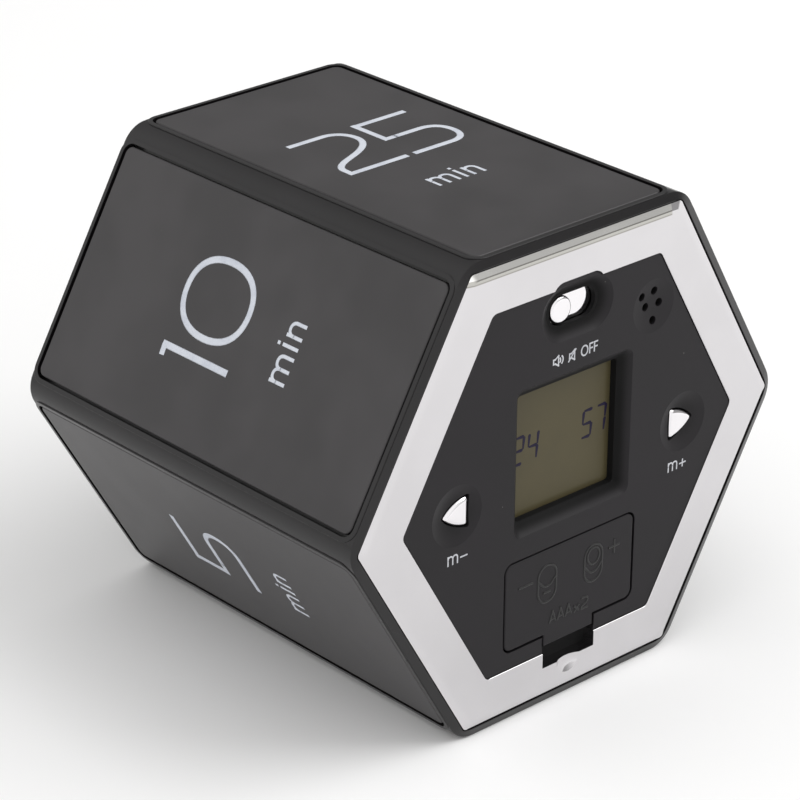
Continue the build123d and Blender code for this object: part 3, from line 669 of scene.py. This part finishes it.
number_ink = printing_ink("number_ink", (0.60, 0.63, 0.69), (0.50, 0.53, 0.60))
label_ink = printing_ink("label_ink", (0.52, 0.53, 0.56), (0.40, 0.41, 0.44))
print("inks: 2")

# %% [markdown]
# ## Strokes
# Numbers with one even line width are easiest to draw as their centre lines: straight runs and
# arcs. A curve with a round bevel turns each centre line into a tube, and the tube is pressed
# flat to the thickness of the ink while it becomes a mesh. Outlines drawn by hand would need two
# sides for every stroke and would never keep such an even width.

# %% Strokes
ARC_HANDLE = 0.5523
SQUARISH_HANDLE = 0.63


def corner(place):
    """A point without handles, where a stroke starts, ends or bends sharply."""
    return (Vector(place), None, None)


def smooth(place, direction, before, after):
    """A point that the stroke passes in a direction, with the lengths of its two handles."""
    place, direction = Vector(place), Vector(direction).normalized()
    return (place, place - direction * before, place + direction * after)


def runs(width, *points, closed=False):
    """Straight runs through points, each drawn past its inner corners so that they stay square."""
    places = [Vector(point) for point in points]
    if closed:
        places.append(places[0])
    strokes = []
    for index in range(len(places) - 1):
        first, last = places[index], places[index + 1]
        past = (last - first).normalized() * width / 2
        begin = first - past if closed or index > 0 else first
        end = last + past if closed or index < len(places) - 2 else last
        strokes.append(([corner(begin), corner(end)], False))
    return strokes


def stroke_spline(data, stroke, closed):
    spline = data.splines.new("BEZIER")
    spline.bezier_points.add(len(stroke) - 1)
    spline.use_cyclic_u = closed
    for point, (place, before, after) in zip(spline.bezier_points, stroke):
        point.co = (place.x, place.y, 0.0)
        point.handle_left_type = "VECTOR" if before is None else "FREE"
        point.handle_right_type = "VECTOR" if after is None else "FREE"
        if before is not None:
            point.handle_left = (*before, 0.0)
        if after is not None:
            point.handle_right = (*after, 0.0)


def strokes_mesh(name, strokes, width, thickness, place):
    """Strokes in millimetres on a flat drawing, made a pressed mesh and put at a place."""
    data = bpy.data.curves.new(name, "CURVE")
    data.dimensions = "3D"
    data.resolution_u = 12
    data.bevel_depth = width / 2
    data.bevel_resolution = 2
    data.use_fill_caps = True
    for stroke, closed in strokes:
        stroke_spline(data, stroke, closed)
    drawing = bpy.data.objects.new(name + "_drawing", data)
    mesh = bpy.data.meshes.new_from_object(drawing)
    bpy.data.objects.remove(drawing)
    mesh.transform(Matrix.Diagonal((1.0, 1.0, thickness / width, 1.0)))
    mesh.transform(place @ Matrix.Diagonal((MM, MM, MM, 1.0)))
    mesh.name = name
    return mesh


def add_piece(name, mesh, material, body):
    """Links a finished mesh as a piece that rides on a body."""
    mesh.materials.clear()
    mesh.materials.append(material)
    mesh.polygons.foreach_set("use_smooth", [True] * len(mesh.polygons))
    piece = bpy.data.objects.new(name, mesh)
    bpy.context.scene.collection.objects.link(piece)
    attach(piece, body)
    return piece


print("stroke helpers ready")

# %% [markdown]
# ## The numbers' shapes
# Each number is written as a list of strokes in millimetres, from its own left edge and its base
# line. Curved corners use two handles: 0.55 of the radius makes a round arc, and a little more
# makes the squarish bowl that these numbers have.

# %% Number shapes
NUMBER_WIDTH = 1.0
NUMBER_HEIGHT = 12.9
HALF = NUMBER_WIDTH / 2
SIDES = (((1, 0), (0, 1)), ((0, 1), (-1, 0)), ((-1, 0), (0, -1)), ((0, -1), (1, 0)))


def oval(middle, half_wide, half_tall, handle=ARC_HANDLE):
    """A closed stroke with four points; longer handles make it squarish."""
    points = []
    for side, direction in SIDES:
        place = Vector((middle[0] + side[0] * half_wide, middle[1] + side[1] * half_tall))
        reach = handle * (half_tall if direction[0] == 0 else half_wide)
        points.append(smooth(place, direction, reach, reach))
    return (points, True)


def bowl(start, right, top, bottom, end):
    """From a bar at the top, round a squarish right end, to a bar at the bottom."""
    radius = (top - bottom) / 2
    reach = radius * SQUARISH_HANDLE
    return ([corner((start, top)),
             smooth((right - radius, top), (1, 0), 1.0, reach),
             smooth((right, top - radius), (0, -1), reach, reach),
             smooth((right - radius, bottom), (-1, 0), reach, 1.0),
             corner((end, bottom))], False)


def digit_zero():
    wide = 10.84
    return wide, [oval((wide / 2, NUMBER_HEIGHT / 2), wide / 2, NUMBER_HEIGHT / 2, SQUARISH_HANDLE)]


def digit_one():
    post, top = 1.54, NUMBER_HEIGHT + 0.3
    return post, [([corner((0.0, top - 0.5)), corner((post, top - 0.4))], False),
                  ([corner((post, top)), corner((post, -0.2))], False)]


def digit_two():
    wide, top = 10.1, NUMBER_HEIGHT
    sweep = ([corner((-0.2, top)),
              smooth((6.0, top), (1, 0), 1.5, 2.1),
              smooth((9.4, 9.5), (0, -1), 1.9, 2.3),
              smooth((4.9, 4.95), (-1, -0.42), 2.3, 2.3),
              smooth((0.0, 1.4), (0, -1), 1.9, 0.5),
              corner((0.0, -HALF))], False)
    return wide, [sweep, ([corner((-HALF, 0.0)), corner((wide, 0.0))], False)]


def digit_three():
    wide, waist = 10.2, 6.8
    upper = bowl(0.2, wide - 0.6, NUMBER_HEIGHT, waist, 2.4)
    return wide, [upper, bowl(wide - 4.2, wide, waist, 0.0, 0.0)]


def digit_four():
    wide, post, bar, top = 10.4, 7.3, 3.4, NUMBER_HEIGHT + 0.4
    return wide, (runs(NUMBER_WIDTH, (post, top), (0.0, bar), (wide, bar))
                  + [([corner((post, top)), corner((post, -0.4))], False)])


def digit_five():
    wide, side, waist = 10.3, 0.75, 6.5
    shoulder = runs(NUMBER_WIDTH, (wide - 0.3, NUMBER_HEIGHT), (side, NUMBER_HEIGHT),
                    (side, waist), (side + 2.0, waist))
    return wide, shoulder + [bowl(side + 1.5, wide, waist, 0.0, 0.0)]


def digit_six():
    wide, waist = 10.2, 7.4
    radius = waist / 2
    reach = radius * SQUARISH_HANDLE
    back = ([corner((8.6, NUMBER_HEIGHT)),
             smooth((4.4, NUMBER_HEIGHT), (-1, 0), 1.4, 2.6),
             smooth((0.0, 7.0), (0, -1), 3.0, 1.0),
             smooth((0.0, radius), (0, -1), 1.0, reach),
             smooth((radius, 0.0), (1, 0), reach, 1.0),
             corner((wide - radius, 0.0))], False)
    belly = ([corner((wide - radius - 0.5, 0.0)),
              smooth((wide - radius, 0.0), (1, 0), 0.2, reach),
              smooth((wide, radius), (0, 1), reach, reach),
              smooth((wide - radius, waist), (-1, 0), reach, 1.0),
              smooth((radius, waist), (-1, 0), 1.0, reach),
              smooth((0.0, radius + 0.4), (0, -1), reach, 0.3)], False)
    return wide, [back, belly]


DIGITS = {"0": digit_zero, "1": digit_one, "2": digit_two, "3": digit_three, "4": digit_four,
          "5": digit_five, "6": digit_six}
print("digits:", len(DIGITS))

# %% [markdown]
# ## The word under each number
# "min" is set smaller and in a thinner line. Its letters are stems and arches; an arch is a
# quarter turn up from the stem and a quarter turn down into the next stem.

# %% Letters
WORD_WIDTH = 0.52
X_HEIGHT = 2.74
STEM_TOP = X_HEIGHT + WORD_WIDTH / 2
LETTER_GAP = 1.4
M_STEP = 1.75


def stem(x, low, high):
    return ([corner((x, low)), corner((x, high))], False)


def arch(left, right):
    """An arch that leaves one stem near its top and stands on the base line at the right."""
    half = (right - left) / 2
    reach = half * 0.62
    spring = X_HEIGHT - half * 1.05
    return ([corner((left, spring - 0.2)),
             smooth((left, spring), (0, 1), 0.1, reach),
             smooth((left + half, X_HEIGHT), (1, 0), reach, reach),
             smooth((right, spring), (0, -1), reach, 0.3),
             corner((right, 0.0))], False)


def letter_m():
    return 2 * M_STEP, [stem(0.0, 0.0, STEM_TOP), arch(0.0, M_STEP), arch(M_STEP, 2 * M_STEP)]


def letter_i():
    return 0.0, [stem(0.0, 0.0, STEM_TOP), stem(0.0, X_HEIGHT + 0.75, X_HEIGHT + 1.25)]


def letter_n():
    wide = 1.8
    return wide, [stem(0.0, 0.0, STEM_TOP), arch(0.0, wide)]


def shifted(strokes, dx, dy, scale=1.0):
    """The same strokes scaled and moved."""
    offset = Vector((dx, dy))
    moved = []
    for stroke, closed in strokes:
        points = [tuple(None if part is None else part * scale + offset for part in point)
                  for point in stroke]
        moved.append((points, closed))
    return moved


def word_min(left, base):
    strokes = []
    for letter in (letter_m, letter_i, letter_n):
        width, shape = letter()
        strokes += shifted(shape, left, base)
        left += width + LETTER_GAP
    return strokes


print("strokes in the word:", len(word_min(0.0, 0.0)))

# %% [markdown]
# ## Print the six panels
# Each panel has its own drawing plane: x to the right as it is read, y towards the back of the
# timer, and the third axis out of the panel. The drawing is made once, flat, and one matrix per
# panel lays it on the surface. Half of the pressed stroke is below the surface, so that it has no
# gap under it.

# %% Panel numbers
INK_THICKNESS = 0.05
BASE_LINE_Y = -0.4
WORD_UNDER = (-3.66, -11.2)
PANELS = {
    "25": {"angle": 90, "left": -9.7, "gap": 1.2, "base": -0.1, "word": WORD_UNDER},
    "10": {"angle": 150, "left": -7.0, "gap": 2.84, "base": -0.98, "word": (-3.58, -11.68)},
    "5": {"angle": 210, "left": -6.3, "gap": 0.0, "base": -0.2, "word": (-5.14, -11.3)},
    "60": {"angle": 270, "left": -11.5, "gap": 2.0, "base": -0.1, "word": WORD_UNDER},
    "45": {"angle": 330, "left": -11.3, "gap": 1.8, "base": -0.1, "word": WORD_UNDER},
    "30": {"angle": 30, "left": -11.5, "gap": 2.0, "base": -0.1, "word": WORD_UNDER},
}


def panel_place(angle):
    turn = math.radians(angle)
    outwards = Vector((math.cos(turn), 0.0, math.sin(turn)))
    across = Vector((math.sin(turn), 0.0, -math.cos(turn)))
    up = Vector((0.0, 1.0, 0.0))
    place = Matrix((across, up, outwards)).transposed().to_4x4()
    place.translation = Vector((0.0, BASE_LINE_Y * MM, axis_z)) + outwards * panel_radius
    return place


def print_panel(name, layout):
    strokes, left = [], layout["left"]
    for digit in name:
        width, shape = DIGITS[digit]()
        strokes += shifted(shape, left, layout["base"])
        left += width + layout["gap"]
    place = panel_place(layout["angle"])
    number = strokes_mesh("number_" + name, strokes, NUMBER_WIDTH, INK_THICKNESS, place)
    add_piece("printed_number_" + name, number, number_ink, "timer_body")
    word = strokes_mesh("word_" + name, word_min(*layout["word"]), WORD_WIDTH, INK_THICKNESS, place)
    add_piece("printed_min_" + name, word, number_ink, "timer_body")
    return len(number.polygons) + len(word.polygons)


for panel_name, panel_layout in PANELS.items():
    print("panel", panel_name, "faces:", print_panel(panel_name, panel_layout))

# %% [markdown]
# ## Marks on the control face
# The face has small printed signs: a loudspeaker, a crossed loudspeaker and the word OFF for the
# three places of the slider, and m- and m+ for the keys. They are drawn with the same strokes, on
# a plane that stands upright and looks along -Y.

# %% Face marks
LABEL_WIDTH = 0.24
LABEL_HEIGHT = 1.4
SIGNS_BASE = 15.9
SPEAKER_LEFT, MUTED_LEFT, OFF_LEFT = -4.25, -1.3, 0.9
KEY_LABELS = (("-", -20.9, -6.9), ("+", 20.5, -7.1))
KEY_LETTER_SCALE = 0.48


def face_place(depth_y):
    across = Vector((1.0, 0.0, 0.0))
    up = Vector((0.0, 0.0, 1.0))
    outwards = Vector((0.0, -1.0, 0.0))
    place = Matrix((across, up, outwards)).transposed().to_4x4()
    place.translation = Vector((0.0, depth_y, axis_z))
    return place


def word_off(left, base, height):
    strokes = [oval((left + 0.42 * height, base + height / 2), 0.42 * height, height / 2)]
    for start in (left + 1.1 * height, left + 1.72 * height):
        middle = base + 0.52 * height
        strokes += runs(LABEL_WIDTH, (start + 0.46 * height, base + height),
                        (start, base + height), (start, base))
        strokes += runs(LABEL_WIDTH, (start, middle), (start + 0.42 * height, middle))
    return strokes


def speaker(left, base, height):
    """A loudspeaker's outline: a small box with a horn that opens to the right."""
    wide = 0.66 * height
    right, neck = left + wide, left + 0.35 * wide
    low, high = base + 0.28 * height, base + 0.72 * height
    return runs(LABEL_WIDTH, (left, low), (neck, low), (right, base), (right, base + height),
                (neck, high), (left, high), closed=True)


def sound_wave(x, y, reach):
    bulge = smooth((x + 0.42 * reach, y), (0, 1), 0.6 * reach, 0.6 * reach)
    return ([corner((x, y - reach)), bulge, corner((x, y + reach))], False)


def key_label(sign, centre_x, base):
    """The letter m with a minus or a plus at its right."""
    strokes = shifted(letter_m()[1], centre_x - M_STEP, base, KEY_LETTER_SCALE)
    middle, right = base + 0.65, centre_x + 0.4
    strokes += runs(LABEL_WIDTH, (right, middle), (right + 1.3, middle))
    if sign == "+":
        strokes += runs(LABEL_WIDTH, (right + 0.65, middle - 0.6), (right + 0.65, middle + 0.6))
    return strokes


def print_face():
    base, top, middle = SIGNS_BASE, SIGNS_BASE + LABEL_HEIGHT, SIGNS_BASE + LABEL_HEIGHT / 2
    marks = speaker(SPEAKER_LEFT, base, LABEL_HEIGHT)
    for x, reach in ((SPEAKER_LEFT + 1.15, 0.35), (SPEAKER_LEFT + 1.5, 0.6)):
        marks.append(sound_wave(x, middle, reach))
    marks += speaker(MUTED_LEFT, base, LABEL_HEIGHT)
    marks += runs(LABEL_WIDTH, (MUTED_LEFT - 0.2, base - 0.1), (MUTED_LEFT + 1.2, top + 0.1))
    marks += word_off(OFF_LEFT, base, LABEL_HEIGHT)
    for sign, centre_x, label_base in KEY_LABELS:
        marks += key_label(sign, centre_x, label_base)
    mesh = strokes_mesh("face_marks", marks, LABEL_WIDTH, INK_THICKNESS, face_place(face_y))
    return add_piece("printed_face_marks", mesh, label_ink, "timer_body")


face_marks = print_face()
print("face marks, faces:", len(face_marks.data.polygons))

# %% [markdown]
# ## Raised marks on the battery door
# The mould of the door is engraved, so the marks stand up in the same black plastic: the two
# cells' signs, plus and minus, and the size of the cells. Their finish is glossier, and its colour
# is painted darker as painted shade of the raised lines. They ride on the door and open with it.

# %% Door marks
RAISED_WIDTH = 0.38
RAISED_HEIGHT = 0.16
LEFT_CELL, RIGHT_CELL = (-4.3, -16.0), (4.5, -16.0)
CELL_HALF_WIDE, CELL_HALF_TALL = 1.7, 2.8
SIZE_BASE, SIZE_HEIGHT, SIZE_LEFT = -22.4, 1.65, -3.7


def stadium_ring(centre, half_wide, half_tall):
    """A closed stroke with straight sides and round ends."""
    x, y = centre
    straight = half_tall - half_wide
    reach = half_wide * ARC_HANDLE
    return ([smooth((x + half_wide, y + straight), (0, 1), 0.3, reach),
             smooth((x, y + half_tall), (-1, 0), reach, reach),
             smooth((x - half_wide, y + straight), (0, -1), reach, 0.3),
             smooth((x - half_wide, y - straight), (0, -1), 0.3, reach),
             smooth((x, y - half_tall), (1, 0), reach, reach),
             smooth((x + half_wide, y - straight), (0, 1), reach, 0.3)], True)


def letter_a(left, base, height):
    half, bar = 0.36 * height, base + 0.32 * height
    return (runs(RAISED_WIDTH, (left, base), (left + half, base + height), (left + 2 * half, base))
            + runs(RAISED_WIDTH, (left + 0.3 * half, bar), (left + 1.7 * half, bar)))


def sagging(left, right, y, sag):
    """A shallow arc that hangs between two points, as the far rim of a can."""
    reach = (right - left) / 4
    lowest = smooth(((left + right) / 2, y - sag), (1, 0), reach, reach)
    return ([corner((left, y)), lowest, corner((right, y))], False)


def raise_door_marks():
    marks = runs(RAISED_WIDTH, (-9.7, -14.95), (-6.95, -14.95))
    for centre in (LEFT_CELL, RIGHT_CELL):
        marks.append(stadium_ring(centre, CELL_HALF_WIDE, CELL_HALF_TALL))
    marks += [oval((4.5, -14.9), 1.15, 1.25)]
    marks += [sagging(2.8, 6.2, -16.2, 1.2), sagging(-6.0, -2.6, -15.3, 1.1)]
    marks += runs(RAISED_WIDTH, (-5.0, -17.3), (-3.6, -17.3))
    marks += runs(RAISED_WIDTH, (7.4, -14.8), (9.6, -14.8))
    marks += runs(RAISED_WIDTH, (8.5, -13.7), (8.5, -15.9))
    base, height, left = SIZE_BASE, SIZE_HEIGHT, SIZE_LEFT
    for index in range(3):
        marks += letter_a(left + index * 1.5, base, height)
    cross, size = left + 4.7, 1.0
    marks += runs(RAISED_WIDTH, (cross, base), (cross + size, base + size))
    marks += runs(RAISED_WIDTH, (cross, base + size), (cross + size, base))
    marks += shifted(digit_two()[1], left + 6.1, base, height / NUMBER_HEIGHT)
    mesh = strokes_mesh("door_marks", marks, RAISED_WIDTH, RAISED_HEIGHT, face_place(face_y))
    return add_piece("raised_door_marks", mesh, raised_gloss_and_shade, "battery_door")


door_marks = raise_door_marks()
print("door marks, faces:", len(door_marks.data.polygons))

# %% [markdown]
# ## Display segments
# The digits of the display are seven bars each, and they lean a little. A bar starts as a
# six-sided disc with one corner at its top and one at its bottom, and its left side is pulled away
# from the other corners. So it is widest near one end and narrows towards both. The bars are laid
# on the film, because a dark image under it would be half hidden.

# %% Segments
SEGMENT_WIDTH = 0.50
DIGIT_WIDE = 2.15
DIGIT_TALL = 4.4
DIGIT_LEAN = 0.10
SEGMENT_THICKNESS = 0.02
SEGMENT_GAP = 0.06
LIT = {"2": "abged", "4": "fgbc", "5": "afgcd", "7": "abc"}
SHOWN_DIGITS = (("2", -8.85), ("4", -6.2), ("5", 3.95), ("7", 6.5))
DIGIT_BASE = 1.75
film_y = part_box("lcd_polarizer")[0].y


def segment_bars(half_wide, half_tall):
    """The middle and the direction of each of the seven bars."""
    return {"a": ((0.0, half_tall), False), "g": ((0.0, 0.0), False),
            "d": ((0.0, -half_tall), False),
            "f": ((-half_wide, half_tall / 2), True), "b": ((half_wide, half_tall / 2), True),
            "e": ((-half_wide, -half_tall / 2), True), "c": ((half_wide, -half_tall / 2), True)}


def add_bar(bm, length, centre, upright):
    """A bar: a disc of six corners, drawn out to a length and given a thickness."""
    made = bmesh.ops.create_circle(bm, cap_ends=True, segments=6, radius=SEGMENT_WIDTH / 2)["verts"]
    for corner_point in made:
        corner_point.co.x += math.copysign(length / 2 - SEGMENT_WIDTH / 2, corner_point.co.x)
    faces = list({face for corner_point in made for face in corner_point.link_faces})
    raised = bmesh.ops.extrude_face_region(bm, geom=faces)["geom"]
    lifted = [item for item in raised if isinstance(item, bmesh.types.BMVert)]
    bmesh.ops.translate(bm, verts=lifted, vec=(0.0, 0.0, SEGMENT_THICKNESS))
    made = made + lifted
    if upright:
        quarter_turn = Matrix.Rotation(math.pi / 2, 3, "Z")
        bmesh.ops.rotate(bm, verts=made, cent=(0, 0, 0), matrix=quarter_turn)
    bmesh.ops.translate(bm, verts=made, vec=(*centre, 0.0))


def display_digit(bm, digit, left):
    half_wide = (DIGIT_WIDE - SEGMENT_WIDTH) / 2
    half_tall = (DIGIT_TALL - SEGMENT_WIDTH) / 2
    before = set(bm.verts)
    for name, (centre, upright) in segment_bars(half_wide, half_tall).items():
        if name in LIT[digit]:
            span = half_tall if upright else 2 * half_wide
            add_bar(bm, span - SEGMENT_GAP, centre, upright)
    made = [vert for vert in bm.verts if vert not in before]
    for vert in made:
        vert.co.x += vert.co.y * DIGIT_LEAN + left + DIGIT_WIDE / 2
        vert.co.y += DIGIT_BASE + DIGIT_TALL / 2


def make_segments():
    bm = bmesh.new()
    for digit, left in SHOWN_DIGITS:
        display_digit(bm, digit, left)
    bmesh.ops.recalc_face_normals(bm, faces=bm.faces)
    mesh = bpy.data.meshes.new("display_segments")
    bm.to_mesh(mesh)
    bm.free()
    mesh.transform(face_place(film_y) @ Matrix.Diagonal((MM, MM, MM, 1.0)))
    piece = add_piece("display_segments", mesh, display_dye, "timer_body")
    mesh.polygons.foreach_set("use_smooth", [False] * len(mesh.polygons))
    return piece


segments = make_segments()
print("display segments, faces:", len(segments.data.polygons))

# %% [markdown]
# ## Floor and light
# A pale table, a soft surround and one wide lamp are enough for a product shot: dark glossy
# plastic is drawn by what it reflects, so the surround matters more than the lamp. It is
# brighter on the left, which keeps the top from shining and gives each side its own tone. The
# lamp stands at the front right, so that the lower left side faces a floor in soft shadow.

# %% Floor
FLOOR_HALF = 3.0


def pale_floor():
    material, tree, shader = new_material("pale_floor", (0.92, 0.92, 0.92), 0.7, specular=0.2)
    noise = add_node(tree, "ShaderNodeTexNoise", Scale=0.02, Detail=2.0)
    join(tree, millimetres(tree), noise.inputs["Vector"])
    paint(tree, shader, noise.outputs["Fac"], (0.91, 0.91, 0.91), (0.93, 0.93, 0.93))
    return material


def make_floor():
    bm = bmesh.new()
    bmesh.ops.create_grid(bm, x_segments=2, y_segments=2, size=FLOOR_HALF)
    mesh = bpy.data.meshes.new("floor")
    bm.to_mesh(mesh)
    bm.free()
    mesh.materials.append(pale_floor())
    floor = bpy.data.objects.new("floor", mesh)
    bpy.context.scene.collection.objects.link(floor)
    return floor


floor = make_floor()
print("floor, m across:", 2 * FLOOR_HALF)

# %% Light
def soft_lamp(name, place, aim, size, power):
    data = bpy.data.lights.new(name, "AREA")
    data.shape = "RECTANGLE"
    data.size, data.size_y = size
    data.energy = power
    lamp = bpy.data.objects.new(name, data)
    bpy.context.scene.collection.objects.link(lamp)
    lamp.location = place
    lamp.rotation_mode = "QUATERNION"
    lamp.rotation_quaternion = (Vector(aim) - Vector(place)).to_track_quat("-Z", "Y")
    return lamp


BRIGHT_SIDE = Vector((-0.9, -0.3, 0.3)).normalized()
DIM_SIDE = 0.36
BRIGHT_LEVEL = 1.08


def surround(dim, bright):
    """An even surround that grows dimmer away from its bright side."""
    world = bpy.data.worlds.new("studio")
    world.use_nodes = True
    tree = world.node_tree
    background = tree.nodes["Background"]
    direction = tree.nodes.new("ShaderNodeTexCoord")
    along = tree.nodes.new("ShaderNodeVectorMath")
    along.operation = "DOT_PRODUCT"
    along.inputs[1].default_value = BRIGHT_SIDE
    join(tree, direction.outputs["Generated"], along.inputs[0])
    strength = steps(tree, along.outputs["Value"], -0.6, 0.5, dim, bright)
    join(tree, strength, background.inputs["Strength"])
    background.inputs["Color"].default_value = (1.0, 0.995, 0.99, 1.0)
    bpy.context.scene.world = world
    return world


surround(DIM_SIDE, BRIGHT_LEVEL)
lamp = soft_lamp("front_right_lamp", (0.5, -0.45, 0.8), body_middle, (0.8, 0.8), 5.5)
bpy.context.scene.view_settings.view_transform = "Standard"
print("lamp:", lamp.name, "power W:", lamp.data.energy)
